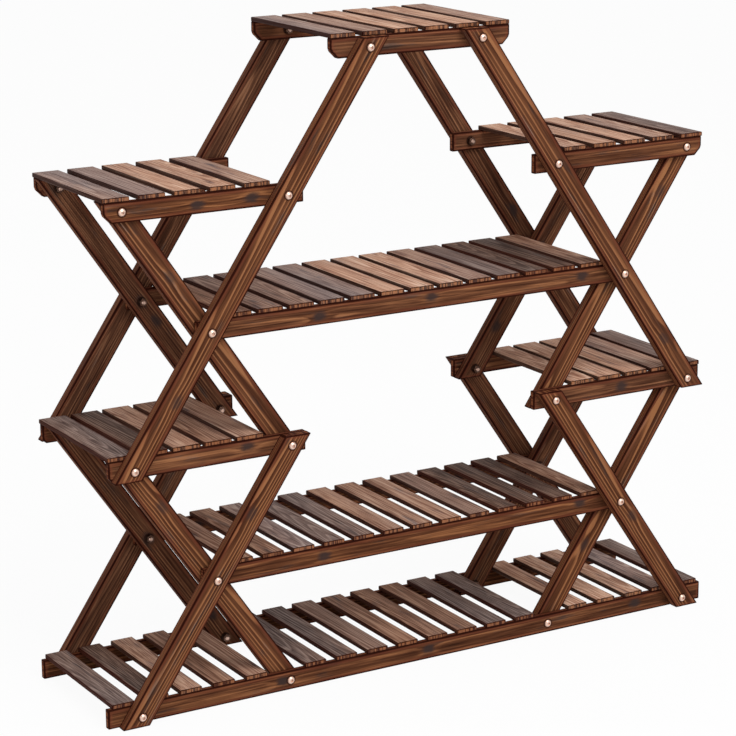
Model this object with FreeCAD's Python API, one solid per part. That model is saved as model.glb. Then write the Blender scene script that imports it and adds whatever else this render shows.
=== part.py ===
import FreeCAD, Part
import math
import os
from collections import namedtuple

from FreeCAD import Placement, Rotation, Vector

# A free-standing plant stand of bolted timber, in millimetres.
# +X runs along the shelves, the front is towards -Y, +Z is up, and the origin is on the
# floor under the middle of the stand.

# Layout of the bolts in one frame
inner_bolt_x = 212.0            # middle of the stand to the inner bolts of a side shelf
bay_width = 231.0               # inner bolt to outer bolt along a side shelf
bay_height = 338.0              # bolts of one side shelf up to the bolts of the next
top_rise = 183.0                # bolts of the upper side shelves up to those of the top shelf
depth = 250.0                   # over the outer faces of the front and rear outer legs

# Timber sections
leg_width = 32.0
leg_thickness = 15.0
rail_height = 27.0
rail_thickness = 9.0
slat_width = 38.0               # slats of the top, upper side and upper centre shelves
middle_slat_width = 40.0        # slats of the middle side shelves
low_slat_width = 33.0           # slats of the lower centre and bottom shelves
slat_thickness = 6.0
timber_edge = 1.2               # radius on the long edges of legs and rails
slat_edge = 1.0                 # radius on the long edges of slats

# Ends of the shelves
top_overhang = 52.0             # top rail and slats past the top bolts
upper_overhang = 27.0           # upper side slats past the outer bolts
middle_overhang = 32.0          # middle side slats past the outer bolts
bottom_overhang = 37.0          # bottom side slats past the outer bolts
slat_lip = 1.5                  # upper and middle side slats past the ends of their rails
rail_lip = 6.0                  # bottom rail past the outermost slats
upper_rail_tail = 30.0          # upper side rails past the inner bolts
middle_rail_tail = 28.0         # middle side rails past the inner bolts
centre_rail_tail = 14.0         # centre rails past the crossing bolts
corner_cut = 11.0               # cut lower corners of the top and upper side rails
corner_ease = 5.0               # eased lower corners of the middle side rails

# Rows of slats
slat_gap = 6.0                  # least gap between neighbouring slats
low_slat_gap = 13.0             # the same on the lower centre and bottom shelves
upper_slat_start = 19.0         # inner bolts to the first slat of an upper side shelf
side_slat_clearance = 3.0       # cross leg to the first slat of a middle or bottom side row
centre_slat_clearance = 18.0    # cross leg to the first slat of a centre shelf
bottom_slat_clearance = 13.0    # cross leg to the first slat of the bottom middle row

# Bolts, nuts and washers
bolt_diameter = 6.0
bolt_hole_clearance = 0.5
bolt_end = 2.0                  # bolt past its nut
bolt_tip = 0.8                  # chamfer on the end of the bolt
head_diameter = 11.0
head_height = 3.4
head_rim = 0.8                  # straight rim under the domed head
socket_flats = 4.0
socket_depth = 1.8
washer_diameter = 12.0
washer_thickness = 1.6
nut_flats = 10.0
nut_height = 5.0
thread_clearance = 0.1

# Brads that pin the slats to the rails
brad_diameter = 1.6
brad_length = 13.0
brad_set = 0.6                  # top of the brad under the face of the slat
brad_hole_clearance = 0.1

# All cuts run past the faces that they open by this much
overrun = 2.0

# Edges that stray from a direction by less than this share of their length run along it
parallel_share = 0.005

# Heights of the bolts
z_bottom = rail_height / 2
z_middle = z_bottom + bay_height
z_upper = z_middle + bay_height
z_top = z_upper + top_rise
z_lower_crossing = (z_bottom + z_middle) / 2
z_upper_crossing = (z_middle + z_upper) / 2

# Places of the bolts along the stand, to the right of its middle
lean_share = bay_width / bay_height
x_inner = inner_bolt_x
x_outer = inner_bolt_x + bay_width
x_crossing = (x_inner + x_outer) / 2
x_top = x_inner - top_rise * lean_share

# Bolt positions of the right half of a frame
bolt_places = {
    "top": (x_top, z_top),
    "upper_inner": (x_inner, z_upper),
    "upper_outer": (x_outer, z_upper),
    "upper_crossing": (x_crossing, z_upper_crossing),
    "middle_inner": (x_inner, z_middle),
    "middle_outer": (x_outer, z_middle),
    "lower_crossing": (x_crossing, z_lower_crossing),
    "bottom_inner": (x_inner, z_bottom),
    "bottom_outer": (x_outer, z_bottom),
}

# Faces of the three layers of a frame, measured out from the middle of the depth
leg_face = depth / 2
rail_face = leg_face - leg_thickness
cross_face = rail_face - rail_thickness
cross_back = cross_face - leg_thickness

# Slats lie on the rails, flush with the rails' outer faces
slat_length = 2 * rail_face
half_rail = rail_height / 2
slat_top = half_rail + slat_thickness       # above the bolts of the same shelf
half_cut = leg_width / 2 * math.hypot(1, lean_share)    # half of a leg's level end

# Edges of the rows of slats, and the ends of the rails under them
x_upper_start = x_inner + upper_slat_start
x_upper_end = x_outer + upper_overhang
x_side_start = x_inner + slat_top * lean_share + half_cut + side_slat_clearance
x_middle_end = x_outer + middle_overhang
x_bottom_end = x_outer + bottom_overhang
x_centre_end = x_crossing + half_rail * lean_share - half_cut - centre_slat_clearance
x_between_end = x_inner + half_rail * lean_share - half_cut - bottom_slat_clearance
x_top_end = x_top + top_overhang
x_upper_rail = x_upper_end - slat_lip
x_middle_rail = x_middle_end - slat_lip
x_bottom_rail = x_bottom_end + rail_lip

fronts = {"front": -1, "rear": 1}
sides = {"left": -1, "right": 1}


def save(node, solids):
    """Write one node as a STEP file and print what it holds."""
    for solid in solids:
        if not solid.isValid() or solid.Volume <= 0:
            raise ValueError("bad solid in " + node)
    shape = solids[0] if len(solids) == 1 else Part.makeCompound(solids)
    shape.exportStep("parts/" + node + ".step")
    print(node, len(solids), "solids", round(shape.Volume), "mm3")


def board(outline, face, thickness, front):
    """A flat board: an outline of (x, z) points, its outer face at the given depth."""
    y_start = min(front * face, front * (face - thickness))
    points = [Vector(x, y_start, z) for x, z in outline]
    flat = Part.Face(Part.makePolygon(points + points[:1]))
    return flat.extrude(Vector(0, thickness, 0))


def soften(solid, direction, radius):
    """Round every edge that runs along the given direction."""
    edges = []
    for edge in solid.Edges:
        run = edge.Vertexes[-1].Point - edge.Vertexes[0].Point
        if run.cross(direction).Length < run.Length * direction.Length * parallel_share:
            edges.append(edge)
    return solid.makeFillet(radius, edges)


def bolt_hole(side, name):
    """A drill through the whole depth at one bolt position."""
    x, z = bolt_places[name]
    radius = (bolt_diameter + bolt_hole_clearance) / 2
    start = Vector(side * x, -leg_face - overrun, z)
    return Part.makeCylinder(radius, depth + 2 * overrun, start, Vector(0, 1, 0))


def brad_hole(x, front, z_shelf):
    """A drill for one brad, from above the slat down to the brad's point."""
    radius = (brad_diameter + brad_hole_clearance) / 2
    length = brad_set + brad_length + overrun
    y = front * (rail_face + cross_face) / 2
    start = Vector(x, y, z_shelf + slat_top + overrun)
    return Part.makeCylinder(radius, length, start, Vector(0, 0, -1))


# A row of slats: the middle of each slat, their width, and the height of the shelf's bolts
SlatRow = namedtuple("SlatRow", "places width z_shelf")


def slat_row(x_start, x_end, width, gap, z_shelf):
    """A row of evenly spread slats between two edges."""
    span = x_end - x_start
    count = int((span + gap) / (width + gap))
    step = (span - width) / (count - 1)
    places = [x_start + width / 2 + index * step for index in range(count)]
    return SlatRow(places, width, z_shelf)


slat_rows = {
    "top": slat_row(-x_top_end, x_top_end, slat_width, slat_gap, z_top),
    "upper_centre": slat_row(
        -x_centre_end, x_centre_end, slat_width, slat_gap, z_upper_crossing),
    "lower_centre": slat_row(
        -x_centre_end, x_centre_end, low_slat_width, low_slat_gap, z_lower_crossing),
    "bottom_centre": slat_row(
        -x_between_end, x_between_end, low_slat_width, low_slat_gap, z_bottom),
}
side_rows = {
    "upper": slat_row(x_upper_start, x_upper_end, slat_width, slat_gap, z_upper),
    "middle": slat_row(x_side_start, x_middle_end, middle_slat_width, slat_gap, z_middle),
    "bottom": slat_row(x_side_start, x_bottom_end, low_slat_width, low_slat_gap, z_bottom),
}
for level, row in side_rows.items():
    for side_name, side in sides.items():
        slat_rows[level + "_" + side_name] = row._replace(places=[side * x for x in row.places])


# Legs: the outer face of the layer, the lower and upper bolt, and the bolts between them
leg_kinds = {
    "long_leg": (leg_face, ["middle_outer", "upper_crossing", "upper_inner", "top"]),
    "upper_cross_leg": (cross_face, ["middle_inner", "upper_crossing", "upper_outer"]),
    "lower_leg": (leg_face, ["bottom_outer", "lower_crossing", "middle_inner"]),
    "lower_cross_leg": (cross_face, ["bottom_inner", "lower_crossing", "middle_outer"]),
}


def leg(kind, side, front):
    """A leaning leg with level ends, flush with the rails that it is bolted to."""
    face, bolts = leg_kinds[kind]
    x_low, z_low = bolt_places[bolts[0]]
    x_high, z_high = bolt_places[bolts[-1]]
    lean = (x_high - x_low) / (z_high - z_low)
    x_foot = side * (x_low - lean * half_rail)
    x_head = side * (x_high + lean * half_rail)
    outline = [
        (x_foot - half_cut, z_low - half_rail),
        (x_foot + half_cut, z_low - half_rail),
        (x_head + half_cut, z_high + half_rail),
        (x_head - half_cut, z_high + half_rail),
    ]
    blank = board(outline, face, leg_thickness, front)
    along = Vector(x_head - x_foot, 0, z_high - z_low + rail_height)
    blank = soften(blank, along, timber_edge)
    return blank.cut([bolt_hole(side, name) for name in bolts])


def rail(x_start, x_end, z_shelf, start_cut, end_cut, front, bolts, slats):
    """A level rail with cut lower corners, drilled for its bolts and for the brads."""
    z_low = z_shelf - half_rail
    z_high = z_shelf + half_rail
    outline = [(x_start, z_high), (x_end, z_high)]
    outline += [(x_end, z_low + end_cut)] if end_cut else []
    outline += [(x_end - end_cut, z_low), (x_start + start_cut, z_low)]
    outline += [(x_start, z_low + start_cut)] if start_cut else []
    blank = board(outline, rail_face, rail_thickness, front)
    blank = soften(blank, Vector(1, 0, 0), timber_edge)
    drills = [bolt_hole(side, name) for side, name in bolts]
    drills += [brad_hole(x, front, z_shelf) for x in slats]
    return blank.cut(drills)


def side_rail(side_name, level, tail, x_out, cut, front):
    """A rail of one side shelf: square inner end, cut lower corner at the outer end."""
    side = sides[side_name]
    row = slat_rows[level + "_" + side_name]
    x_in = x_inner - tail
    bolts = [(side, level + "_inner"), (side, level + "_outer")]
    if side > 0:
        return rail(x_in, x_out, row.z_shelf, 0, cut, front, bolts, row.places)
    return rail(-x_out, -x_in, row.z_shelf, cut, 0, front, bolts, row.places)


def centred_rail(x_half, z_shelf, cut, front, names, slats):
    """A rail that is centred on the stand, with both ends alike."""
    bolts = [(side, name) for side in sides.values() for name in names]
    return rail(-x_half, x_half, z_shelf, cut, cut, front, bolts, slats)


def slat(x, width, z_shelf):
    """One slat across the depth, with a brad hole at each end."""
    corner = Vector(x - width / 2, -slat_length / 2, z_shelf + half_rail)
    blank = Part.makeBox(width, slat_length, slat_thickness, corner)
    blank = soften(blank, Vector(0, 1, 0), slat_edge)
    return blank.cut([brad_hole(x, front, z_shelf) for front in fronts.values()])


def hexagon(flats, height, z_start):
    """A hexagonal prism standing on its axis, sized across its flats."""
    corner = flats / math.sqrt(3)
    angles = [math.radians(60 * index) for index in range(7)]
    points = [Vector(corner * math.cos(a), corner * math.sin(a), z_start) for a in angles]
    return Part.Face(Part.makePolygon(points)).extrude(Vector(0, 0, height))


def bolt_blank(length):
    """A domed socket bolt, its head above the origin and its shank below."""
    radius = bolt_diameter / 2
    head_radius = head_diameter / 2
    rise = head_height - head_rim
    dome_radius = (head_radius ** 2 + rise ** 2) / (2 * rise)
    half_angle = math.asin(head_radius / dome_radius) / 2
    dome_centre = head_height - dome_radius
    dome_middle = Vector(
        dome_radius * math.sin(half_angle), 0, dome_centre + dome_radius * math.cos(half_angle))
    rim = Vector(head_radius, 0, head_rim)
    crown = Vector(0, 0, head_height)
    side_points = [
        crown,
        Vector(0, 0, -length),
        Vector(radius - bolt_tip, 0, -length),
        Vector(radius, 0, bolt_tip - length),
        Vector(radius, 0, 0),
        Vector(head_radius, 0, 0),
        rim,
    ]
    dome = Part.Arc(rim, dome_middle, crown).toShape()
    profile = Part.Wire(Part.makePolygon(side_points).Edges + [dome])
    blank = Part.Face(profile).revolve(Vector(0, 0, 0), Vector(0, 0, 1), 360)
    socket = hexagon(socket_flats, socket_depth + overrun, head_height - socket_depth)
    return blank.cut(socket)


def ring(outer_blank, height):
    """A nut or washer: a blank on the origin with a hole for the bolt."""
    hole_radius = bolt_diameter / 2 + thread_clearance
    hole = Part.makeCylinder(hole_radius, height + 2 * overrun, Vector(0, 0, -overrun))
    return outer_blank.cut(hole)


def placed(blank, side, name, face, front):
    """Stand a fastener on a face of the frame at one bolt position, +Z turned outwards."""
    x, z = bolt_places[name]
    turn = Rotation(Vector(0, 0, 1), Vector(0, front, 0))
    copy = blank.copy()
    copy.Placement = Placement(Vector(side * x, front * face, z), turn)
    return copy


# Bolts: the face under the head and the face behind the washer
short_bolts = {
    "top": (leg_face, cross_face),
    "upper_inner": (leg_face, cross_face),
    "bottom_outer": (leg_face, cross_face),
    "upper_outer": (rail_face, cross_back),
    "bottom_inner": (rail_face, cross_back),
}
long_bolts = {
    name: (leg_face, cross_back)
    for name in ("upper_crossing", "middle_inner", "middle_outer", "lower_crossing")
}


def bolt_set(places, grip, front):
    """All bolts of one length in one frame."""
    length = grip + washer_thickness + nut_height + bolt_end
    blank = bolt_blank(length)
    return [
        placed(blank, side, name, faces[0], front)
        for side in sides.values() for name, faces in places.items()
    ]


def ring_set(blank, stand_off, front):
    """One ring behind every bolt of a frame, the given distance in from the timber."""
    places = {**short_bolts, **long_bolts}
    return [
        placed(blank, side, name, faces[1] - stand_off, front)
        for side in sides.values() for name, faces in places.items()
    ]


def brads_along(front):
    """All brads along one frame, one in each slat."""
    y = front * (rail_face + cross_face) / 2
    return [
        Part.makeCylinder(
            brad_diameter / 2, brad_length,
            Vector(x, y, row.z_shelf + slat_top - brad_set), Vector(0, 0, -1))
        for row in slat_rows.values() for x in row.places
    ]


os.makedirs("parts", exist_ok=True)

# Legs
for front_name, front in fronts.items():
    for side_name, side in sides.items():
        for kind in leg_kinds:
            save(front_name + "_" + side_name + "_" + kind, [leg(kind, side, front)])

# Rails
bottom_slats = [
    x for name in ("bottom_left", "bottom_centre", "bottom_right") for x in slat_rows[name].places]
for front_name, front in fronts.items():
    for side_name in sides:
        upper = side_rail(side_name, "upper", upper_rail_tail, x_upper_rail, corner_cut, front)
        middle = side_rail(side_name, "middle", middle_rail_tail, x_middle_rail, corner_ease, front)
        save(front_name + "_upper_" + side_name + "_rail", [upper])
        save(front_name + "_middle_" + side_name + "_rail", [middle])
    top = centred_rail(x_top_end, z_top, corner_cut, front, ["top"], slat_rows["top"].places)
    save(front_name + "_top_rail", [top])
    for level in ("upper", "lower"):
        row = slat_rows[level + "_centre"]
        x_half = x_crossing + centre_rail_tail
        centre = centred_rail(x_half, row.z_shelf, 0, front, [level + "_crossing"], row.places)
        save(front_name + "_" + level + "_centre_rail", [centre])
    bottom = centred_rail(
        x_bottom_rail, z_bottom, 0, front, ["bottom_inner", "bottom_outer"], bottom_slats)
    save(front_name + "_bottom_rail", [bottom])

# Slats
for row_name, row in slat_rows.items():
    save(row_name + "_slats", [slat(x, row.width, row.z_shelf) for x in row.places])

# Fasteners
washer = ring(Part.makeCylinder(washer_diameter / 2, washer_thickness), washer_thickness)
nut = ring(hexagon(nut_flats, nut_height, 0), nut_height)
for front_name, front in fronts.items():
    save(front_name + "_short_bolts", bolt_set(short_bolts, leg_thickness + rail_thickness, front))
    save(front_name + "_long_bolts", bolt_set(long_bolts, leg_face - cross_back, front))
    save(front_name + "_washers", ring_set(washer, washer_thickness, front))
    save(front_name + "_nuts", ring_set(nut, washer_thickness + nut_height, front))
    save(front_name + "_brads", brads_along(front))
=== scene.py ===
# %% [markdown]
# # A slatted plant stand of scorched softwood
# The stand is two flat frames of crossed, leaning legs, joined by rails, with slats laid from the
# front frame to the rear one. The measured model of it, with every piece at its real size, is loaded
# first and never moved: each board and fastener made below is laid over the measured piece that it
# stands for. The measured box is worked out and its size printed.

# %% Load the measured stand
import math

import bmesh
import bpy
import numpy as np
from mathutils import Matrix, Vector


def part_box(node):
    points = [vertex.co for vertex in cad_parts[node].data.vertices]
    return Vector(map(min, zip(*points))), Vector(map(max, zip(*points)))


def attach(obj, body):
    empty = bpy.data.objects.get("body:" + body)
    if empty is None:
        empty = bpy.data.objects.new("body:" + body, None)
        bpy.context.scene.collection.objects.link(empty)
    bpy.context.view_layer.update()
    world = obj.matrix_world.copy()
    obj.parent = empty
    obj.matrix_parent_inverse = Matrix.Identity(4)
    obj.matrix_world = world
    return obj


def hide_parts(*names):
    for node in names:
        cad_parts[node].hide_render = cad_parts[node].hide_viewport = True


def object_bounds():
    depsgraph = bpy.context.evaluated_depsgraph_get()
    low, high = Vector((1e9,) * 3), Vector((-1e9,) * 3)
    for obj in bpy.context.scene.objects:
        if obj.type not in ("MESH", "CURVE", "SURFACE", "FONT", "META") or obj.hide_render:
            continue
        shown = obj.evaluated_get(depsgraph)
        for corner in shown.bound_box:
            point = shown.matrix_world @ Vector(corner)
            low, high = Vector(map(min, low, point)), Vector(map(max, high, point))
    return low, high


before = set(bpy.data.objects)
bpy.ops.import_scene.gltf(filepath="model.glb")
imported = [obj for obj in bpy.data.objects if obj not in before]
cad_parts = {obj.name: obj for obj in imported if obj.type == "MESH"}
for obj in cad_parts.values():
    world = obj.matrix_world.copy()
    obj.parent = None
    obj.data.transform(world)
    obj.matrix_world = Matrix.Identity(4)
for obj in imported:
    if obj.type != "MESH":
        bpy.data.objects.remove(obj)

measured_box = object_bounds()
measured_size = measured_box[1] - measured_box[0]
print("measured stand, metres:", [round(side, 4) for side in measured_size])

# %% [markdown]
# ## The camera
# The stand was photographed from its left front, a little above the middle, with a long lens, so
# that far edges stay nearly as long as near ones. A camera can be aimed with a constraint, but here
# its three axes are worked out from the compass angle, the height angle and a slight roll, because
# then the view is plain numbers that can be read and changed.

# %% Place the camera
view_azimuth = math.radians(-30.32)
view_elevation = math.radians(14.75)
view_roll = math.radians(-0.44)
view_target = Vector((-0.0219, 0.0, 0.4039))
view_distance = 3.604
film_width = 36.0
focal_length = 125.8


def camera_axes(azimuth, elevation, roll):
    """Right, up and back axes: back points from the object to the camera, right lies level and
    across it, up is their cross product, and the roll turns right and up about back."""
    back = Vector((math.sin(azimuth) * math.cos(elevation),
                   -math.cos(azimuth) * math.cos(elevation),
                   math.sin(elevation)))
    level = Vector((math.cos(azimuth), math.sin(azimuth), 0.0))
    upright = back.cross(level)
    right = level * math.cos(roll) + upright * math.sin(roll)
    up = upright * math.cos(roll) - level * math.sin(roll)
    return right, up, back


view_axes = camera_axes(view_azimuth, view_elevation, view_roll)
camera_data = bpy.data.cameras.new("photograph_camera")
camera_data.sensor_width = film_width
camera_data.lens = focal_length
camera = bpy.data.objects.new("photograph_camera", camera_data)
camera.matrix_world = (Matrix.Translation(view_target + view_axes[2] * view_distance)
                       @ Matrix(view_axes).transposed().to_4x4())
bpy.context.collection.objects.link(camera)
bpy.context.scene.camera = camera
print("camera stands at", [round(place, 3) for place in camera.location])

# %% [markdown]
# ## Small helpers for node networks
# A finish is a network of nodes. Written out node by node it is long and hard to follow, so a few
# helpers add a node and join its inputs in one line. A colour is given in the 0 to 255 steps that a
# picture editor shows, and turned into the linear light that shaders work in.

# %% Wire nodes
def join(tree, socket, value):
    """Joins a socket to another one, or sets it to a plain value."""
    if isinstance(value, bpy.types.NodeSocket):
        tree.links.new(value, socket)
    else:
        socket.default_value = value


def add_node(tree, kind, inputs=None, **options):
    """Adds one node, sets its options, and sets or joins each input that is named."""
    node = tree.nodes.new(kind)
    for option, value in options.items():
        setattr(node, option, value)
    for socket, value in (inputs or {}).items():
        join(tree, node.inputs[socket], value)
    return node


def work_out(tree, operation, *values, clamp=False):
    """One step of arithmetic on sockets or plain numbers."""
    inputs = dict(enumerate(values))
    return add_node(tree, "ShaderNodeMath", inputs, operation=operation, use_clamp=clamp).outputs[0]


def mix_colours(tree, share, first, second):
    """The first colour where the share is 0 and the second where it is 1."""
    node = add_node(tree, "ShaderNodeMix", data_type="RGBA")
    factor, colour_a, colour_b = (node.inputs[index] for index in (0, 6, 7))
    join(tree, factor, share)
    join(tree, colour_a, first)
    join(tree, colour_b, second)
    return node.outputs[2]


def fade(tree, value, start, end, low=0.0, high=1.0):
    """A smooth step from low, where the value is at start, to high, where it is at end."""
    inputs = {"Value": value, "From Min": start, "From Max": end, "To Min": low, "To Max": high}
    return add_node(tree, "ShaderNodeMapRange", inputs, interpolation_type="SMOOTHSTEP").outputs[0]


def paint(red, green, blue):
    """A picture editor's colour turned into linear light by the standard display curve."""
    share = np.array((red, green, blue)) / 255
    linear = np.where(share <= 0.04045, share / 12.92, ((share + 0.055) / 1.055) ** 2.4)
    return (*linear.tolist(), 1.0)


def shade_card(tree, lightness, places, *colours):
    """A row of colours, each at its place between 0 and 1, read off at the given lightness."""
    node = add_node(tree, "ShaderNodeValToRGB", {"Fac": lightness})
    elements = node.color_ramp.elements
    while len(elements) < len(colours):
        elements.new(1.0)
    for element, place, colour in zip(elements, places, colours):
        element.position = place
        element.color = paint(*colour)
    return node.outputs["Color"]


def new_finish(name):
    """An empty material with its node tree and its output node."""
    material = bpy.data.materials.new(name)
    material.use_nodes = True
    material.node_tree.nodes.clear()
    return material, material.node_tree, add_node(material.node_tree, "ShaderNodeOutputMaterial")


def cloud(tree, place, lengths, detail):
    """A soft random value about 0.5 that changes over these lengths along, across and through."""
    scaled = add_node(tree, "ShaderNodeVectorMath", {0: place, 1: lengths}, operation="DIVIDE")
    inputs = {"Vector": scaled.outputs[0], "Scale": 1.0, "Detail": detail, "Roughness": 0.58}
    return add_node(tree, "ShaderNodeTexNoise", inputs).outputs[0]


def value_on_points(tree, name):
    """A value that the mesh carries on its points."""
    return add_node(tree, "ShaderNodeAttribute", attribute_name=name, attribute_type="GEOMETRY").outputs


print("node helpers ready")

# %% [markdown]
# ## The studio
# The photograph has a plain white ground. Pouring light on the stand would wash its colours out, so
# the world and the floor only look white to the camera and in reflections, while the light that they
# give is kept at a plain level. The floor stays a matt surface under that, so it keeps a soft shadow.

# %% Lay the floor and light the room
floor_half = 30.0
floor_white_share = 0.94
floor_colour = (0.88, 0.88, 0.88, 1.0)
room_light = 0.60
white = (1.0, 1.0, 1.0, 1.0)


def seen_directly(tree):
    """1 for rays from the camera and for mirrored or refracted ones, 0 for the light that falls."""
    path = add_node(tree, "ShaderNodeLightPath").outputs
    reflected = work_out(tree, "MAXIMUM", path["Is Glossy Ray"], path["Is Transmission Ray"])
    return work_out(tree, "MAXIMUM", path["Is Camera Ray"], reflected)


world = bpy.data.worlds.new("studio_room")
world.use_nodes = True
world.node_tree.nodes.clear()
room = world.node_tree
lit = add_node(room, "ShaderNodeBackground", {"Color": white, "Strength": room_light})
shown = add_node(room, "ShaderNodeBackground", {"Color": white, "Strength": 1.0})
both = add_node(room, "ShaderNodeMixShader",
                {0: seen_directly(room), 1: lit.outputs[0], 2: shown.outputs[0]})
add_node(room, "ShaderNodeOutputWorld", {"Surface": both.outputs[0]})
bpy.context.scene.world = world
bpy.context.scene.view_settings.view_transform = "Standard"

floor_finish, sheet, sheet_out = new_finish("studio_floor")
matt = add_node(sheet, "ShaderNodeBsdfDiffuse", {"Color": floor_colour})
glow = add_node(sheet, "ShaderNodeEmission", {"Color": white, "Strength": 1.0})
glow_share = work_out(sheet, "MULTIPLY", seen_directly(sheet), floor_white_share)
floor_mix = add_node(sheet, "ShaderNodeMixShader",
                     {0: glow_share, 1: matt.outputs[0], 2: glow.outputs[0]})
join(sheet, sheet_out.inputs["Surface"], floor_mix.outputs[0])

floor_mesh = bpy.data.meshes.new("studio_floor")
floor_corners = np.array([(-1, -1, 0), (1, -1, 0), (1, 1, 0), (-1, 1, 0)]) * floor_half
floor_mesh.from_pydata(floor_corners.tolist(), [], [(0, 1, 2, 3)])
floor_mesh.materials.append(floor_finish)
floor = bpy.data.objects.new("studio_floor", floor_mesh)
bpy.context.collection.objects.link(floor)


def soft_lamp(name, place, target, width, power):
    """A square lamp that faces its target."""
    data = bpy.data.lights.new(name, "AREA")
    data.size = width
    data.energy = power
    lamp = bpy.data.objects.new(name, data)
    lamp.location = place
    lamp.rotation_euler = (Vector(target) - Vector(place)).to_track_quat("-Z", "Y").to_euler()
    bpy.context.collection.objects.link(lamp)
    return lamp


lamp_target = (0.0, 0.0, 0.4)
lamp_width = 3.0
lamps = [
    soft_lamp("overhead_lamp", (0.3, -3.4, 4.0), lamp_target, lamp_width, 142.0),
    soft_lamp("side_lamp", (-5.2, -2.6, 2.0), lamp_target, lamp_width, 36.0),
]
print("studio: one floor and", len(lamps), "lamps")

# %% [markdown]
# ## The year rings and knots
# The boards are softwood that was passed through a flame and brushed. The flame darkens the soft
# wood between the year rings, so the hard rings stand out as golden stripes. A picture of wood could
# be wrapped round each board, but it would stretch on the ends. Here the wood is solid: the year
# rings are circles round the heart of the tree, which lies beside or below the board, so faces, edges
# and sawn ends all agree. Here and there a branch grew, and the rings bend round its dark knot.
# Every board carries values on its points: spot is the place on the board, grain is the place in the
# tree, inset is how far a point lies from the board's sides, faces and ends, tone is how pale it is,
# how sooty, and how much painted shade lies round a bolt head, and knot_along and knot_across say
# where up to three knots are.

# %% Grow rings and knots
knot_half_length = 0.0115
knot_half_height = 0.0075
knot_reach = 3.0


def off_middle(tree, value):
    """How far a value between 0 and 1 is from its middle."""
    return work_out(tree, "SUBTRACT", value, 0.5)


def parts_on_points(tree, name):
    """The three parts of a value that the mesh carries on its points."""
    vector = value_on_points(tree, name)["Vector"]
    return add_node(tree, "ShaderNodeSeparateXYZ", {0: vector}).outputs


def knot_distance(tree, grain):
    """How far a place is from the nearest of the board's knots, in knot sizes: the offsets along and
    across, each over its half size, squared, added and rooted, with a ragged rim from a cloud."""
    spot, along, across = (parts_on_points(tree, name) for name in ("spot", "knot_along", "knot_across"))
    nearest = 100.0
    for number in range(3):
        steps = ((spot[0], along[number], knot_half_length), (spot[1], across[number], knot_half_height))
        offsets = [work_out(tree, "DIVIDE", work_out(tree, "SUBTRACT", place, knot), half)
                   for place, knot, half in steps]
        squares = [work_out(tree, "MULTIPLY", offset, offset) for offset in offsets]
        distance = work_out(tree, "SQRT", work_out(tree, "ADD", *squares))
        nearest = work_out(tree, "MINIMUM", distance, nearest)
    ragged = cloud(tree, grain, (0.012, 0.005, 0.005), 3.0)
    return work_out(tree, "ADD", off_middle(tree, ragged), nearest)


def year_rings(tree, grain, knot, ring_width, sway, bend):
    """Distance from the heart of the tree, swayed by a slow cloud, bent round a knot, and counted in
    rings. The part after the point says where in a ring it is: soft wood, then a light hard stripe,
    then a thin dark line. The whole part picks how strong the ring is."""
    slow = cloud(tree, grain, (0.55, 0.030, 0.030), 2.0)
    across = add_node(tree, "ShaderNodeVectorMath", {0: grain, 1: (0.0, 1.0, 1.0)}, operation="MULTIPLY")
    distance = add_node(tree, "ShaderNodeVectorMath", {0: across.outputs[0]}, operation="LENGTH")
    rings = work_out(tree, "DIVIDE", distance.outputs["Value"], ring_width)
    rings = work_out(tree, "MULTIPLY_ADD", slow, sway, rings)
    rings = work_out(tree, "ADD", rings, fade(tree, knot, 0.0, knot_reach, bend, 0.0))
    within = work_out(tree, "FRACT", rings)
    which = work_out(tree, "FLOOR", rings)
    strength = add_node(tree, "ShaderNodeTexWhiteNoise", {"W": which}, noise_dimensions="1D")
    soft_part = fade(tree, within, 0.0, 0.62, 0.40, 0.52)
    hard_part = fade(tree, within, 0.50, 0.76, 0.0, 0.48)
    ring_line = fade(tree, within, 0.84, 0.97, 0.0, -0.62)
    lightness = work_out(tree, "ADD", soft_part, work_out(tree, "ADD", hard_part, ring_line))
    return lightness, strength.outputs["Value"]


print("rings and knots ready")

# %% [markdown]
# ## The scorched finish
# The flame also leaves soot in drifts that darken the wood, chars the sharp edges nearly black, with
# a reddish band beside them, and bites dark teeth into the sawn ends. Four cards of shades are read
# off at one lightness: brown and pale wood, and the same two under soot. The tone that each board
# carries says how to mix them. The rear legs took more soot, so their stripes are weaker.

# %% Mix the wood finish
shade_places = (0.0, 0.35, 0.60, 0.82, 1.0)
brown_shades = ((30, 12, 6), (70, 38, 22), (95, 56, 34), (125, 78, 47), (146, 95, 59))
pale_shades = ((108, 69, 52), (165, 119, 97), (197, 153, 128), (214, 174, 149), (223, 189, 166))
soot_shades = ((30, 21, 18), (60, 46, 40), (82, 66, 58), (106, 88, 79), (124, 106, 97))
ash_shades = ((80, 64, 62), (120, 102, 98), (142, 123, 119), (160, 141, 135), (174, 155, 148))
char_colour = paint(36, 8, 3)
ember_colour = paint(114, 58, 41)
sawn_colour = paint(148, 94, 60)
knot_colour = paint(56, 44, 42)
fibre_lengths = (0.090, 0.0026, 0.0026)
patch_lengths = (0.110, 0.016, 0.016)
drift_lengths = (0.075, 0.012, 0.012)
tooth_lengths = (1.0, 0.0034, 0.080)
middle_light = 0.53
patch_weight = 0.50
smoke_weight = -0.24
sawn_share = 0.86
ember_share = 0.45
ember_reach = 2.4
char_share = 0.95
full_char_reach = 0.4
# Painted shade round each bolt head: how dark it is at its darkest.
bolt_shade_share = 0.85
wood_gloss = 0.03


def edge_distance(tree, side, face, end):
    """On a board's surface one inset is about 0, so the next smallest is the distance to the
    nearest edge: the middle one of the three, by smallest-of and largest-of."""
    low = work_out(tree, "MINIMUM", side, face)
    high = work_out(tree, "MAXIMUM", side, face)
    return work_out(tree, "MAXIMUM", low, work_out(tree, "MINIMUM", high, end))


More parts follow.
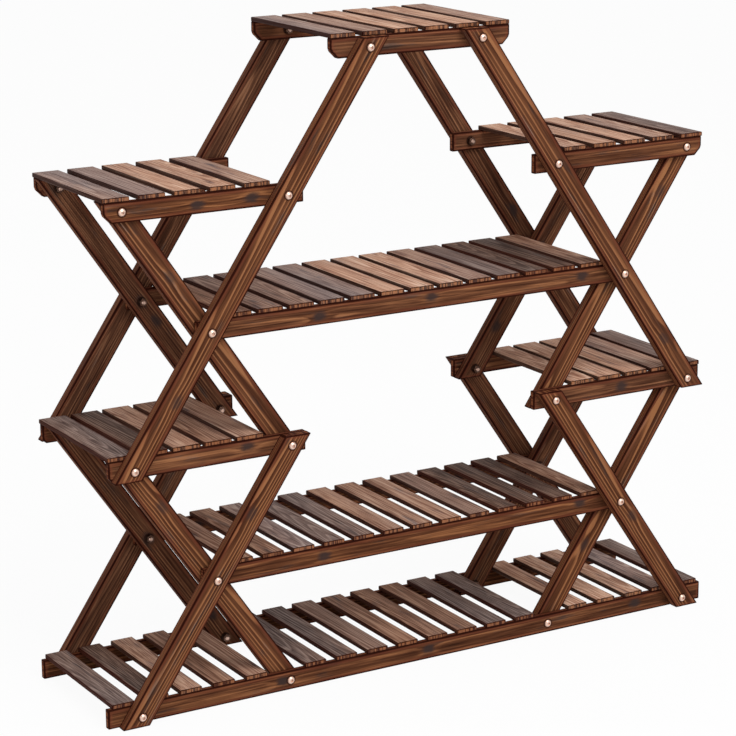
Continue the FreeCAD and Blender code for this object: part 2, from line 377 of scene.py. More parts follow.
def scorched_wood(name, ring_width, sway, bend, stripes, streaks, knots, side_char_and_shade, edge_char):
    """Year rings, fine fibres and slow patches added to one lightness, read off the cards of shades,
    then darkened at knots, on the narrow sides with char and painted shade, on the sawn ends and along
    the edges, and with painted shade round the bolt heads."""
    material, tree, output = new_finish(name)
    grain = value_on_points(tree, "grain")["Vector"]
    # The tone's third value is the painted shade round the bolt heads.
    paleness, soot, bolt_shade = parts_on_points(tree, "tone")
    knot = knot_distance(tree, grain)
    rings, strength = year_rings(tree, grain, knot, ring_width, sway, bend)
    fibres = cloud(tree, grain, fibre_lengths, 4.0)
    patches = cloud(tree, grain, patch_lengths, 3.0)
    smoke = fade(tree, cloud(tree, grain, drift_lengths, 4.0), 0.56, 0.74, 0.0, 0.70)

    ring_weight = work_out(tree, "MULTIPLY_ADD", strength, stripes, stripes * 0.5)
    light = work_out(tree, "MULTIPLY", off_middle(tree, rings), ring_weight)
    light = work_out(tree, "MULTIPLY_ADD", off_middle(tree, fibres), streaks, light)
    light = work_out(tree, "MULTIPLY_ADD", off_middle(tree, patches), patch_weight, light)
    light = work_out(tree, "MULTIPLY_ADD", smoke, smoke_weight, light)
    light = work_out(tree, "ADD", light, middle_light, clamp=True)

    cards = [shade_card(tree, light, shade_places, *shades)
             for shades in (brown_shades, pale_shades, soot_shades, ash_shades)]
    clean = mix_colours(tree, paleness, cards[0], cards[1])
    smoked = mix_colours(tree, paleness, cards[2], cards[3])
    colour = mix_colours(tree, work_out(tree, "ADD", soot, smoke, clamp=True), clean, smoked)
    colour = mix_colours(tree, fade(tree, knot, 0.4, 1.3, knots, 0.0), colour, knot_colour)

    side, face, end = parts_on_points(tree, "inset")
    # The narrow sides are darkened: char, and on the slats also painted shade in the gaps between them.
    narrow = fade(tree, work_out(tree, "SUBTRACT", face, side), 0.0, 0.0015, 0.0, side_char_and_shade)
    sawn = fade(tree, end, 0.0004, 0.0014, sawn_share, 0.0)
    teeth = fade(tree, cloud(tree, grain, tooth_lengths, 2.0), 0.42, 0.58, 0.0, 1.0)
    colour = mix_colours(tree, narrow, colour, char_colour)
    colour = mix_colours(tree, sawn, colour, mix_colours(tree, teeth, sawn_colour, char_colour))
    edge = edge_distance(tree, side, face, end)
    ragged = work_out(tree, "MULTIPLY_ADD", off_middle(tree, patches), edge_char, edge)
    ember = fade(tree, ragged, edge_char, edge_char * ember_reach, ember_share, 0.0)
    ember = work_out(tree, "MULTIPLY", ember, work_out(tree, "SUBTRACT", 1.0, paleness))
    char_and_bolt_shade = fade(tree, ragged, edge_char * full_char_reach, edge_char, char_share, 0.0)
    # The painted shade round each bolt head is laid over the wood as the charred edges are.
    char_and_bolt_shade = work_out(tree, "MAXIMUM", char_and_bolt_shade, work_out(tree, "MULTIPLY", bolt_shade, bolt_shade_share))
    colour = mix_colours(tree, ember, colour, ember_colour)
    colour = mix_colours(tree, char_and_bolt_shade, colour, char_colour)

    relief = work_out(tree, "MULTIPLY_ADD", rings, 0.7, work_out(tree, "MULTIPLY", fibres, 0.6))
    bump = add_node(tree, "ShaderNodeBump", {"Strength": 0.45, "Distance": 0.0006, "Height": relief})
    roughness = work_out(tree, "MULTIPLY_ADD", fibres, 0.30, 0.55)
    inputs = {"Base Color": colour, "Roughness": roughness, "Normal": bump.outputs[0],
              "Specular IOR Level": wood_gloss}
    surface = add_node(tree, "ShaderNodeBsdfPrincipled", inputs)
    join(tree, output.inputs["Surface"], surface.outputs[0])
    return material


leg_finish = scorched_wood("leg_scorched_wood", ring_width=0.0027, sway=0.7, bend=0.3, stripes=1.0,
                           streaks=0.90, knots=0.60, side_char_and_shade=0.10, edge_char=0.0030)
sooty_leg_finish = scorched_wood("sooty_leg_scorched_wood", ring_width=0.0027, sway=0.9, bend=0.4,
                                 stripes=0.50, streaks=1.50, knots=0.85, side_char_and_shade=0.10,
                                 edge_char=0.0030)
rail_finish = scorched_wood("rail_scorched_wood", ring_width=0.0028, sway=1.0, bend=0.4, stripes=0.45,
                            streaks=1.60, knots=0.90, side_char_and_shade=0.25, edge_char=0.0030)
# The slats' narrow sides are painted nearly black: partly char, partly painted shade in the gaps.
slat_finish = scorched_wood("slat_scorched_wood", ring_width=0.0024, sway=0.8, bend=0.2, stripes=0.60,
                            streaks=2.10, knots=0.0, side_char_and_shade=0.90, edge_char=0.0014)
wood_finishes = (leg_finish, sooty_leg_finish, rail_finish, slat_finish)
print("wood finishes:", ", ".join(finish.name for finish in wood_finishes))

# %% [markdown]
# ## The section of a board
# Every board is a flat stick with slightly rounded edges. A box with a Bevel modifier would give that,
# but the legs end in level cuts, some rails have cut corners, and bolts pass through. So a board is
# worked out as one surface: a section, which is one turn round the stick, is carried along it. Lanes
# divide the section's two wide faces.

# %% Draw the section of a board
arc_steps = 3
lanes = 6


def board_section(half_width, half_thick, ease):
    """One turn round the stick as points and outward directions (across, through): the front face in
    even lanes, a quarter circle, the middle of the side, a quarter circle, the back face in the same
    lanes, and the same down the other side."""
    lane = np.linspace(-1, 1, lanes + 1) * (half_width - ease)
    turn = np.linspace(math.pi / 2, 0, arc_steps + 1)[1:]
    centre = np.array((half_width - ease, half_thick - ease))
    out = np.stack((np.cos(turn), np.sin(turn)), axis=1)
    front = np.stack((lane, np.full(lanes + 1, half_thick)), axis=1)
    corner = centre + ease * out
    side = np.array([(half_width, 0.0)])
    below = np.array((1.0, -1.0))
    half_turn = np.concatenate((front, corner, side, corner[::-1] * below))
    half_out = np.concatenate((np.tile((0.0, 1.0), (lanes + 1, 1)), out, [(1.0, 0.0)], out[::-1] * below))
    return np.concatenate((half_turn, -half_turn)), np.concatenate((half_out, -half_out))


print("a board's section has", len(board_section(1.0, 1.0, 0.5)[0]), "points")

# %% [markdown]
# ## The rows of a board
# The rows of the board stand where something happens: at the two eased ends, at the foot of a cut
# corner, and on both sides of each bolt. Long plain stretches get a few more rows, so that a value
# which rises from an end and falls to the other is carried well between them. The rows may lean, as
# a leg's level cuts do.

# %% Space the rows and carry the section along them
patch_reach = 0.0105
end_ease = 0.0009
longest_stretch = 0.05


def board_rows(half_length, cuts, holes):
    """Places of the rows along a board, how far each is drawn in, and the end that it belongs to (-1,
    0 or 1). Each end is a quarter circle of rows: drawn in by the ease less its sine, and set back by
    the ease less its cosine."""
    bend = np.linspace(0, math.pi / 2, arc_steps + 1)
    end_place = -half_length + end_ease * (1 - np.cos(bend))
    drawn_in = end_ease * (1 - np.sin(bend))
    feet = [sign * (half_length - cut - end_ease) for sign, cut in zip((-1, 1), cuts) if cut]
    patches = [hole + np.linspace(-patch_reach, patch_reach, lanes + 1) for hole in holes]
    fixed = np.sort(np.concatenate([end_place[-1:], feet, *patches, -end_place[-1:]]))
    steps = np.ceil(np.diff(fixed) / longest_stretch).astype(int)
    fill = [np.linspace(low, high, step + 1)[1:-1] for low, high, step in zip(fixed, fixed[1:], steps)]
    middle = np.sort(np.concatenate([fixed[1:-1], *fill]))
    place = np.concatenate((end_place, middle, -end_place[::-1]))
    inset = np.concatenate((drawn_in, np.zeros(len(middle)), drawn_in[::-1]))
    end = np.repeat((-1, 0, 1), (len(bend), len(middle), len(bend)))
    return place, inset, end


def board_grid(half_length, half_width, half_thick, ease, lean, cuts, holes):
    """Points (along, across, through) of every row and turn. A point is its row's place, plus the lean
    times its place across, beside the section's point drawn in along its outward direction. A cut
    corner draws an end row back by what is left of the cut at that height."""
    section, out = board_section(half_width, half_thick, ease)
    place, inset, end = board_rows(half_length, cuts, holes)
    ring = section[None] - inset[:, None, None] * out[None]
    across = ring[..., 0]
    left_over = [np.maximum(0, cut - (across + half_width)) for cut in cuts]
    back = np.where(end[:, None] < 0, left_over[0], 0) - np.where(end[:, None] > 0, left_over[1], 0)
    along = place[:, None] + lean * across + back
    return np.stack((along, across, ring[..., 1]), axis=-1), place


print("a slat has", len(board_rows(0.11, (0.0, 0.0), ())[0]), "rows")

# %% [markdown]
# ## Bolt holes and ends
# Between the rows round a bolt the wide faces are left open, and the opening is closed again with
# loops of points that change from the square patch to the round hole. So the bolts really pass through
# the wood, and the painted shade round a bolt head has points of its own to sit on. The ends are
# closed with a fan of triangles round one point.

# %% Close the surface of a board
hole_radius = 0.00325
# Painted shade round a bolt head: full from the hole out to the first radius below, gone at the second.
bolt_shade_radius = 0.0061
fade_radius = 0.0080
patch_radii = np.array((fade_radius, bolt_shade_radius, hole_radius))
patch_shades = np.array((0.0, 1.0, 1.0))


def between(loops):
    """Four-sided faces between neighbouring closed loops of point numbers."""
    near, far = loops[:-1], loops[1:]
    return np.stack((near, np.roll(near, -1, 1), np.roll(far, -1, 1), far), axis=-1)


def bolt_patch(grid, numbers, first, hole, start):
    """Three loops on each wide face round one bolt, at the angle of the square patch's own points as
    seen from the bolt, and the wall of the hole between the two innermost ones."""
    step = np.arange(lanes)
    flat = np.zeros(lanes, int)
    row = first + np.concatenate((flat, step, flat + lanes, lanes - step))
    lane = np.concatenate((step, flat + lanes, lanes - step, flat))
    opposite = numbers.shape[1] // 2 + lanes - lane
    points, faces, rims = [], [], []
    for column in (lane, opposite):
        edge = grid[row, column]
        angle = np.arctan2(edge[:, 1], edge[:, 0] - hole)
        circle = patch_radii[:, None, None] * np.stack((np.cos(angle), np.sin(angle)), axis=-1)
        depth = np.broadcast_to(edge[:, 2], circle.shape[:2])
        points.append(np.dstack((circle[..., 0] + hole, circle[..., 1], depth)).reshape(-1, 3))
        inner = start + np.arange(depth.size).reshape(depth.shape)
        start += depth.size
        faces.append(between(np.vstack((numbers[row, column], inner))).reshape(-1, 4))
        rims.append(inner[-1])
    faces.append(between(np.stack(rims)).reshape(-1, 4))
    # The loops round a bolt carry painted shade: full on the two inner ones, none on the outer one.
    bolt_shades = np.tile(np.repeat(patch_shades, len(row)), 2)
    return np.concatenate(points), np.concatenate(faces), bolt_shades


def board_surface(half_length, half_width, half_thick, ease, lean=0.0, cuts=(0.0, 0.0), holes=()):
    """Points, four-sided faces, end triangles and the painted shade round the bolts of one closed board."""
    grid, place = board_grid(half_length, half_width, half_thick, ease, lean, cuts, holes)
    rows, count = grid.shape[:2]
    numbers = np.arange(rows * count).reshape(rows, count)
    quads = between(numbers)
    kept = np.ones(quads.shape[:2], bool)
    height = np.array([cut - half_width if cut else 0.0 for cut in cuts])
    tips = np.stack((np.array((-1, 1)) * half_length + lean * height, height, np.zeros(2)), axis=1)
    points, faces, bolt_shades = [grid.reshape(-1, 3), tips], [], [np.zeros(rows * count + 2)]
    tip = rows * count
    ends = [np.stack((np.roll(numbers[row], -1), numbers[row], np.full(count, tip + end)), axis=-1)
            for end, row in enumerate((0, rows - 1))]
    for hole in holes:
        first = np.argmin(np.abs(place - (hole - patch_reach)))
        kept[first:first + lanes, :lanes] = False
        kept[first:first + lanes, count // 2:count // 2 + lanes] = False
        patch = bolt_patch(grid, numbers, first, hole, sum(len(part) for part in points))
        for store, part in zip((points, faces, bolt_shades), patch):
            store.append(part)
    return (np.concatenate(points), np.concatenate([quads[kept]] + faces), np.concatenate(ends),
            np.concatenate(bolt_shades))


trial = board_surface(0.3, 0.016, 0.0075, 0.0012, holes=(0.0,))
print("a board with one bolt has", len(trial[0]), "points and", len(trial[1]), "four-sided faces")

# %% [markdown]
# ## From arrays to a piece
# A mesh takes the arrays whole. The values that the finish reads are put on the points by name, and
# the faces are turned to look outwards. Each piece is named after the measured piece that it stands
# for, which is then hidden, and it takes its finish and is attached to the stand.

# %% Turn arrays into a piece
smooth_angle = math.radians(38)


def make_piece(node, ending, points, faces, values, finish):
    """One mesh at the origin from whole arrays, standing for one measured piece."""
    mesh = bpy.data.meshes.new(f"{node}_{ending}")
    mesh.from_pydata(points.tolist(), [], [face for group in faces for face in group.tolist()])
    for name, array in values.items():
        layer = mesh.attributes.new(name, "FLOAT_VECTOR", "POINT")
        layer.data.foreach_set("vector", np.ascontiguousarray(array, dtype=np.float32).ravel())
    outward = bmesh.new()
    outward.from_mesh(mesh)
    bmesh.ops.recalc_face_normals(outward, faces=outward.faces)
    outward.to_mesh(mesh)
    outward.free()
    mesh.shade_smooth()
    mesh.set_sharp_from_angle(angle=smooth_angle)
    mesh.materials.append(finish)
    piece = bpy.data.objects.new(mesh.name, mesh)
    bpy.context.collection.objects.link(piece)
    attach(piece, "root")
    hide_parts(node)
    return piece


def middle_and_size(node):
    """The middle and the size of a measured piece's box."""
    low, high = (np.array(corner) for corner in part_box(node))
    return (low + high) / 2, high - low


print("pieces can be made")

# %% [markdown]
# ## Where each board grew
# No two boards come from the same place in the tree. Each gets its own heart, beside and below it, a
# slight slope of the grain along its length, which draws the arches seen on flat-sawn boards, and a
# start somewhere along the trunk. The draws are seeded, so the stand is the same each time. A board
# with fewer than three knots has the missing ones far away.

# %% Give a board its own grain
tree_draw = np.random.default_rng(41)
trunk_length = 40.0
no_knot = (9.0, 0.0)


def grow(points, half, heart_across, heart_below, slope, knots=(), cuts=(0.0, 0.0), lean=0.0):
    """Values for a board's points. Grain is the place along the trunk, and the place across and
    through measured from the heart, which drifts by the slope along the board. Inset is how far a
    point lies inside the sides, the faces, and the ends with their cut corners."""
    along, across, through = points.T
    trunk = along + tree_draw.uniform(0, trunk_length)
    grain = np.stack((trunk, across - heart_across, through + heart_below + slope * along), axis=1)
    straight = along - lean * across
    to_end = half[0] - np.abs(straight)
    for sign, cut in zip((-1, 1), cuts):
        to_cut = (half[0] - sign * straight + across + half[1] - cut) / math.sqrt(2)
        to_end = np.minimum(to_end, to_cut) if cut else to_end
    inset = np.stack((half[1] - np.abs(across), half[2] - np.abs(through), to_end), axis=1)
    all_knots = np.array((list(knots) + [no_knot] * 3)[:3])
    knot_along, knot_across = (np.tile(row, (len(points), 1)) for row in all_knots.T)
    return {"spot": points, "grain": grain, "inset": inset,
            "knot_along": knot_along, "knot_across": knot_across}


def random_knots(count, half):
    """Places of a few knots, anywhere along a board and near its middle line."""
    along = tree_draw.uniform(-0.85, 0.85, count) * half[0]
    return list(zip(along, tree_draw.uniform(-0.4, 0.4, count) * half[1]))


def carry(points, origin, along, across, through):
    """Board places turned into stand places: the origin plus each place times its direction."""
    return np.array(origin) + points @ np.array((along, across, through))


print("the trunk is", trunk_length, "metres long")

# %% [markdown]
# ## The legs
# A leg's width is known, and the measured box of a leg gives its height and its reach to the side. The
# lean follows from these: reach times the cosine, less height times the sine, is the width. The legs
# end in level cuts, so their rows lean by the tangent of that angle. A rear leg has one more dark spot
# where it crosses another leg, made as a knot is.

# %% Make the legs
leg_width = 0.032
timber_ease = 0.0012
outward_sign = {"front": -1.0, "rear": 1.0}
side_sign = {"left": -1, "right": 1}
frame_soot = {"front": 0.0, "rear": 0.18}
frame_finish = {"front": leg_finish, "rear": sooty_leg_finish}
leans_inward = {"long_leg": True, "upper_cross_leg": False, "lower_leg": True, "lower_cross_leg": False}
leg_rails = {
    "long_leg": ("middle_{side}", "upper_centre", "upper_{side}", "top"),
    "upper_cross_leg": ("middle_{side}", "upper_centre", "upper_{side}"),
    "lower_leg": ("bottom", "lower_centre", "middle_{side}"),
    "lower_cross_leg": ("bottom", "lower_centre", "middle_{side}"),
}


def leg_lean(end, side, kind):
    """The angle of a leg from upright, signed towards +X going up."""
    reach, _, height = middle_and_size(f"{end}_{side}_{kind}")[1]
    angle = math.acos(leg_width / math.hypot(reach, height)) - math.atan2(height, reach)
    return angle * side_sign[side] * (-1 if leans_inward[kind] else 1)


def leg_x(end, side, kind, height):
    """Where a leg's middle line is at a given height."""
    middle, _ = middle_and_size(f"{end}_{side}_{kind}")
    return middle[0] + math.tan(leg_lean(end, side, kind)) * (height - middle[2])


def make_leg(end, side, kind):
    """A board along the lean, with a bolt hole at each rail that it crosses."""
    node = f"{end}_{side}_{kind}"
    middle, size = middle_and_size(node)
    angle = leg_lean(end, side, kind)
    lean = math.tan(angle)
    rails = [f"{end}_{rail.format(side=side)}_rail" for rail in leg_rails[kind]]
    holes = [(middle_and_size(rail)[0][2] - middle[2]) / math.cos(angle) for rail in rails]
    half = (size[2] / 2 / math.cos(angle), leg_width / 2, size[1] / 2)
    points, quads, ends, bolt_shades = board_surface(*half, timber_ease, lean=lean, holes=holes)
    heart = (-math.copysign(tree_draw.uniform(0.006, 0.013), angle), tree_draw.uniform(0.010, 0.022))
    knots = random_knots(1, half)
    if end == "rear":
        knots.append((holes[1], 0.0))
    values = grow(points, half, *heart, tree_draw.uniform(-0.02, 0.02), knots, lean=lean)
    tone = (tree_draw.uniform(0.0, 0.03), frame_soot[end] + tree_draw.uniform(0.0, 0.06))
    values["tone"] = np.column_stack((np.tile(tone, (len(points), 1)), bolt_shades))
    placed = carry(points, middle, (math.sin(angle), 0, math.cos(angle)),
                   (math.cos(angle), 0, -math.sin(angle)), (0, outward_sign[end], 0))
    return make_piece(node, "timber", placed, (quads, ends), values, frame_finish[end])


legs = [make_leg(end, side, kind) for end in outward_sign for side in side_sign for kind in leg_rails]
lean_found = math.degrees(abs(leg_lean("front", "left", "long_leg")))
print(len(legs), "legs, leaning", round(lean_found, 2), "degrees")

# %% [markdown]
# ## The rails
# A rail is the same kind of board laid level. The top rail has both of its lower corners cut off, the
# upper side rails have the outer one cut, and on the middle side rails it is only eased. A rail has a
# bolt hole wherever a leg's middle line crosses its own. The knots on the front rails are placed, as
# metres along the stand and above the rail's middle line, and the others fall where they like.

# %% Make the rails
corner_cut = 0.011
corner_ease = 0.005
rail_cuts = {"top": (corner_cut, corner_cut),
             "upper_left": (corner_cut, 0.0), "upper_right": (0.0, corner_cut),
             "middle_left": (corner_ease, 0.0), "middle_right": (0.0, corner_ease)}
front_knots = {
    "upper_left": [(-0.337, -0.0015), (-0.258, 0.0)],
    "upper_centre": [(-0.160, -0.0013), (0.015, 0.0028), (0.264, 0.0022)],
    "middle_left": [(-0.272, 0.0052)],
    "middle_right": [(0.336, 0.0)],
    "lower_centre": [(-0.157, 0.0005), (0.265, 0.0045)],
    "bottom": [(-0.224, 0.0012), (0.009, 0.0011), (0.367, 0.0015)],
}
both_sides = tuple(side_sign)
rail_legs = {
    "top": [(side, "long_leg") for side in both_sides],
    "upper_left": [("left", "upper_cross_leg"), ("left", "long_leg")],
    "upper_right": [("right", "long_leg"), ("right", "upper_cross_leg")],
    "upper_centre": [(side, "long_leg") for side in both_sides],
    "middle_left": [("left", "long_leg"), ("left", "lower_leg")],
    "middle_right": [("right", "lower_leg"), ("right", "long_leg")],
    "lower_centre": [(side, "lower_leg") for side in both_sides],
    "bottom": [(side, kind) for side in both_sides for kind in ("lower_leg", "lower_cross_leg")],
}


def make_rail(end, name):
    """A level board with its cut corners and a bolt hole at each leg that crosses it."""
    node = f"{end}_{name}_rail"
    middle, size = middle_and_size(node)
    holes = [leg_x(end, side, kind, middle[2]) - middle[0] for side, kind in rail_legs[name]]
    cuts = rail_cuts.get(name, (0.0, 0.0))
    half = size[[0, 2, 1]] / 2
    points, quads, ends, bolt_shades = board_surface(*half, timber_ease, cuts=cuts, holes=holes)
    heart = (tree_draw.uniform(-0.012, 0.012), tree_draw.uniform(0.010, 0.024))
    knots = random_knots(2, half)
    if end == "front":
        knots = [(place - middle[0], rise) for place, rise in front_knots.get(name, ())]
    values = grow(points, half, *heart, tree_draw.uniform(-0.012, 0.012), knots, cuts=cuts)
    tone = (tree_draw.uniform(0.0, 0.04), tree_draw.uniform(0.0, 0.14))
    values["tone"] = np.column_stack((np.tile(tone, (len(points), 1)), bolt_shades))
    placed = carry(points, middle, (1, 0, 0), (0, 0, 1), (0, outward_sign[end], 0))
    return make_piece(node, "timber", placed, (quads, ends), values, rail_finish)


rails = [make_rail(end, name) for end in outward_sign for name in rail_legs]
print(len(rails), "rails")

# %% [markdown]
# ## The slats
# The slats lie across the two frames with even gaps, and no two beside each other took the flame
# alike: some stay a pale pinkish tan, some are brown, some ashen, and some dark with soot. Each row is
# one piece made of separate boards, because a row is one measured piece. A slat's tone is chosen by
# name, and changes a little along and across the slat.

# %% Make the slats
slat_ease = 0.0010
tones = {"cream": (1.0, 0.0), "pink": (0.88, 0.02), "tan": (0.80, 0.06), "fawn": (0.80, 0.42),
         "hazel": (0.64, 0.15), "brown": (0.42, 0.16), "grey": (0.85, 0.82), "smoke": (0.47, 0.88),
         "umber": (0.55, 0.55), "slate": (0.40, 0.95), "dark": (0.14, 0.78)}
slat_rows = {
    "top": (0.038, "grey fawn pink pink pink fawn"),
    "upper_left": (0.038, "grey grey pink tan fawn"),
    "upper_right": (0.038, "pink tan pink fawn smoke"),
    "upper_centre": (0.038, "brown umber umber grey grey cream cream cream fawn smoke dark dark hazel"),
    "middle_left": (0.040, "smoke dark tan brown hazel"),
    "middle_right": (0.040, "cream cream cream fawn smoke"),
    "lower_centre": (0.033, "hazel brown grey smoke smoke hazel hazel hazel umber dark dark dark hazel"),
    "bottom_left": (0.033, "smoke dark tan brown hazel"),
    "bottom_centre": (0.033, "slate slate umber brown brown brown slate slate"),
    "bottom_right": (0.033, "cream cream cream grey slate"),
}


def slat_tone(word, base, half, bolt_shades):
    """A named tone with a small random shift, and a soot that slopes along and across the slat."""
    tone = np.array(tones[word]) + tree_draw.uniform(-0.03, 0.03, 2)
    slope = tree_draw.uniform(-0.18, 0.18, 2)
    soot = tone[1] + slope[0] * base[:, 0] / half[0] + slope[1] * base[:, 1] / half[1]
    return np.clip(np.column_stack((np.full(len(base), tone[0]), soot, bolt_shades)), 0, 1)


def make_slat_row(name, width, words):
    """A row of boards from front to rear, evenly spaced over the measured row's box."""
    node = f"{name}_slats"
    middle, size = middle_and_size(node)
    words = words.split()
    run = (size[0] - width) / 2
    half = (size[1] / 2, width / 2, size[2] / 2)
    base, quads, ends, bolt_shades = board_surface(*half, slat_ease)
    boards = []
    for place, word in zip(np.linspace(-run, run, len(words)), words):
        heart = (tree_draw.uniform(-0.022, 0.022), tree_draw.uniform(0.006, 0.030))
        board = grow(base, half, *heart, tree_draw.uniform(-0.05, 0.05))
        board["tone"] = slat_tone(word, base, half, bolt_shades)
        board["points"] = carry(base, middle + (place, 0, 0), (0, 1, 0), (-1, 0, 0), (0, 0, 1))
        boards.append(board)
    joined = {part: np.concatenate([board[part] for board in boards]) for part in boards[0]}
    points = joined.pop("points")
    step = np.arange(len(words))[:, None, None] * len(base)
    faces = ((quads + step).reshape(-1, 4), (ends + step).reshape(-1, 3))
    return make_piece(node, "boards", points, faces, joined, slat_finish)


slats = [make_slat_row(name, *row) for name, row in slat_rows.items()]
print(len(slats), "rows with", sum(len(words.split()) for _, words in slat_rows.values()), "slats")

# %% [markdown]
# ## The plated metal
# The bolts are plated in a pale copper tone, darkened with painted shade in the sockets, towards the
# rims and under the heads. The nuts and washers behind them have the same plating, painted darker as
# shade. Plating is a mirror with a slight haze, so the finish is a metal whose roughness and colour
# wander a little, with the darker places taken from a value on the points that holds wear and painted
# shade.

# %% Mix the metal finishes
def plated_metal(name, bright, dull_and_shaded, haze):
    """A metal whose bright colour gives way to a darker one by the wear and painted shade on the points
    and by a fine cloud of tarnish, with a haze that wanders about its mean."""
    material, tree, output = new_finish(name)
    place = add_node(tree, "ShaderNodeTexCoord").outputs["Object"]
    wear_and_shade = parts_on_points(tree, "wear_and_shade")[0]
    spots = cloud(tree, place, (0.0016, 0.0016, 0.0016), 3.0)
    scuffs = cloud(tree, place, (0.0007, 0.0007, 0.0007), 2.0)
    tarnish_and_shade = work_out(tree, "ADD", wear_and_shade, fade(tree, spots, 0.52, 0.75, 0.0, 0.35), clamp=True)
    colour = mix_colours(tree, tarnish_and_shade, paint(*bright), paint(*dull_and_shaded))
    roughness = work_out(tree, "MULTIPLY_ADD", scuffs, 0.20, haze)
    bump = add_node(tree, "ShaderNodeBump", {"Strength": 0.12, "Distance": 0.0001, "Height": scuffs})
    inputs = {"Base Color": colour, "Metallic": 1.0, "Roughness": roughness, "Normal": bump.outputs[0]}
    surface = add_node(tree, "ShaderNodeBsdfPrincipled", inputs)
    join(tree, output.inputs["Surface"], surface.outputs[0])
    return material


bolt_finish = plated_metal("bolt_copper_plating", (240, 208, 190), (120, 78, 60), 0.24)
# The nuts and washers on the inner faces get the bolts' plating painted darker, as painted shade.
shaded_nut_finish = plated_metal("nut_shaded_copper_plating", (104, 78, 66), (40, 27, 22), 0.30)
wire_finish = plated_metal("brad_wire", (122, 114, 108), (62, 54, 50), 0.34)
print("metal finishes:", bolt_finish.name, shaded_nut_finish.name, wire_finish.name)

# %% [markdown]
# ## Bolts, nuts and washers
# A bolt is a turned piece: its outline, from the bottom of the socket over the domed head and down the
# shank, is carried round the axis. The socket is a hexagon, so there the radius changes with the
# angle, and at the end of the shank the radius follows a helix, which is the thread. A nut is a
# hexagon whose corners are turned off by a cone, and a washer is a ring with eased edges.

# %% Draw the fasteners
columns = 24
turn_angle = np.arange(columns) * 2 * math.pi / columns
head_radius = 0.0055
head_height = 0.0034
head_rim = 0.0008
rim_ease = 0.0002
socket_flats = 0.004
socket_depth = 0.0018
shank_radius = 0.003
shank_tip = 0.0008
thread_pitch = 0.001
thread_depth = 0.0004
thread_run = 0.0032
bolt_end = 0.002
nut_flats = 0.010
nut_height = 0.005
nut_bore = 0.00306
nut_ease = 0.0003
nut_face_share = 0.96
washer_radius = 0.006
washer_thick = 0.0016
washer_ease = 0.0003


def hexagon_reach(flats):
    """From the axis to a hexagon's side in each direction: half its width across the flats, over the
    cosine of the angle from the middle of the nearest flat."""
    sixth = math.pi / 3
    return flats / 2 / np.cos((turn_angle + sixth / 2) % sixth - sixth / 2)


def turned(*rows):
    """Rows of points round the axis, from pairs of a radius and a height, each of them one number or
    one for every column."""
    reach = np.stack([np.broadcast_to(radius, columns) for radius, _ in rows])
    rise = np.stack([np.broadcast_to(height, columns) for _, height in rows])
    return np.stack((reach * np.cos(turn_angle), reach * np.sin(turn_angle), rise), axis=-1)


def dome_height(radius):
    """Height of the head at a distance from its axis: a ball whose cap spans the head's rim."""
    rise = head_height - head_rim
    ball = (head_radius ** 2 + rise ** 2) / (2 * rise)
    return head_height - ball + np.sqrt(ball ** 2 - radius ** 2)


def bolt_shape(length):
    """Rows of a bolt, the wear of each row, and points at the bottom of the socket and the tip. On the
    thread the radius falls by the thread's depth times the distance, in half pitches, from the crest
    of a helix that drops one pitch a turn."""
    socket = hexagon_reach(socket_flats)
    dome = np.linspace(0.003, head_radius - rim_ease, 6)
    thread = np.linspace(thread_run, shank_tip, 14) - length
    turn = thread[:, None] / thread_pitch + turn_angle / (2 * math.pi)
    groove = shank_radius - thread_depth * np.abs(2 * (turn % 1) - 1)
    head = [(socket, head_height - socket_depth), (socket, dome_height(socket))]
    head += [(radius, dome_height(radius)) for radius in dome]
    head += [(head_radius, head_rim), (head_radius, rim_ease), (head_radius - rim_ease, 0.0)]
    shank = [(shank_radius, 0.0), (shank_radius, thread_run + shank_tip - length)]
    shank += list(zip(groove, thread))
    shank += [(shank_radius - shank_tip, -length)]
    # The bolt's socket, its dome towards the rim and the underside of its head are darkened with painted
    # shade; the shank is darkened by half.
    rim_shade = 0.9 * np.linspace(0, 1, len(dome)) ** 2
    wear_and_shade = [0.45, 0.25, *rim_shade, 0.8, 0.9, 0.9] + [0.5] * len(shank)
    tips = np.array([(0.0, 0.0, head_height - socket_depth), (0.0, 0.0, -length)])
    return turned(*head, *shank), np.array(wear_and_shade), tips


def nut_shape():
    """Rows of a nut, once round its wall: up the bore, over the face, down the hexagon and back under.
    The cone takes the hexagon down by a share of what stands past the round face."""
    hexagon = hexagon_reach(nut_flats)
    face = nut_flats / 2 * nut_face_share
    cone = (hexagon - face) * math.tan(math.pi / 6)
    return turned((nut_bore + nut_ease, 0), (nut_bore, nut_ease), (nut_bore, nut_height - nut_ease),
                  (nut_bore + nut_ease, nut_height), (face, nut_height), (hexagon, nut_height - cone),
                  (hexagon, cone), (face, 0))


def washer_shape():
    """Rows of a washer, once round its wall."""
    return turned((nut_bore, 0), (nut_bore, washer_thick), (washer_radius - washer_ease, washer_thick),
                  (washer_radius, washer_thick - washer_ease), (washer_radius, washer_ease),
                  (washer_radius - washer_ease, 0))


def skin(rows, tips=None):
    """Points and faces of turned rows: closed with a fan at each tip, or with the last row joined to
    the first where there are no tips."""
    count = len(rows)
    numbers = np.arange(count * columns).reshape(count, columns)
    if tips is None:
        return rows.reshape(-1, 3), between(np.vstack((numbers, numbers[:1]))).reshape(-1, 4), None
    fans = [np.stack((numbers[row], np.roll(numbers[row], -1), np.full(columns, numbers.size + end)),
                     axis=-1) for end, row in enumerate((0, count - 1))]
    points = np.concatenate((rows.reshape(-1, 3), tips))
    return points, between(numbers).reshape(-1, 4), np.concatenate(fans)


print("a bolt has", len(bolt_shape(0.05)[0]), "rows and a nut", len(nut_shape()))

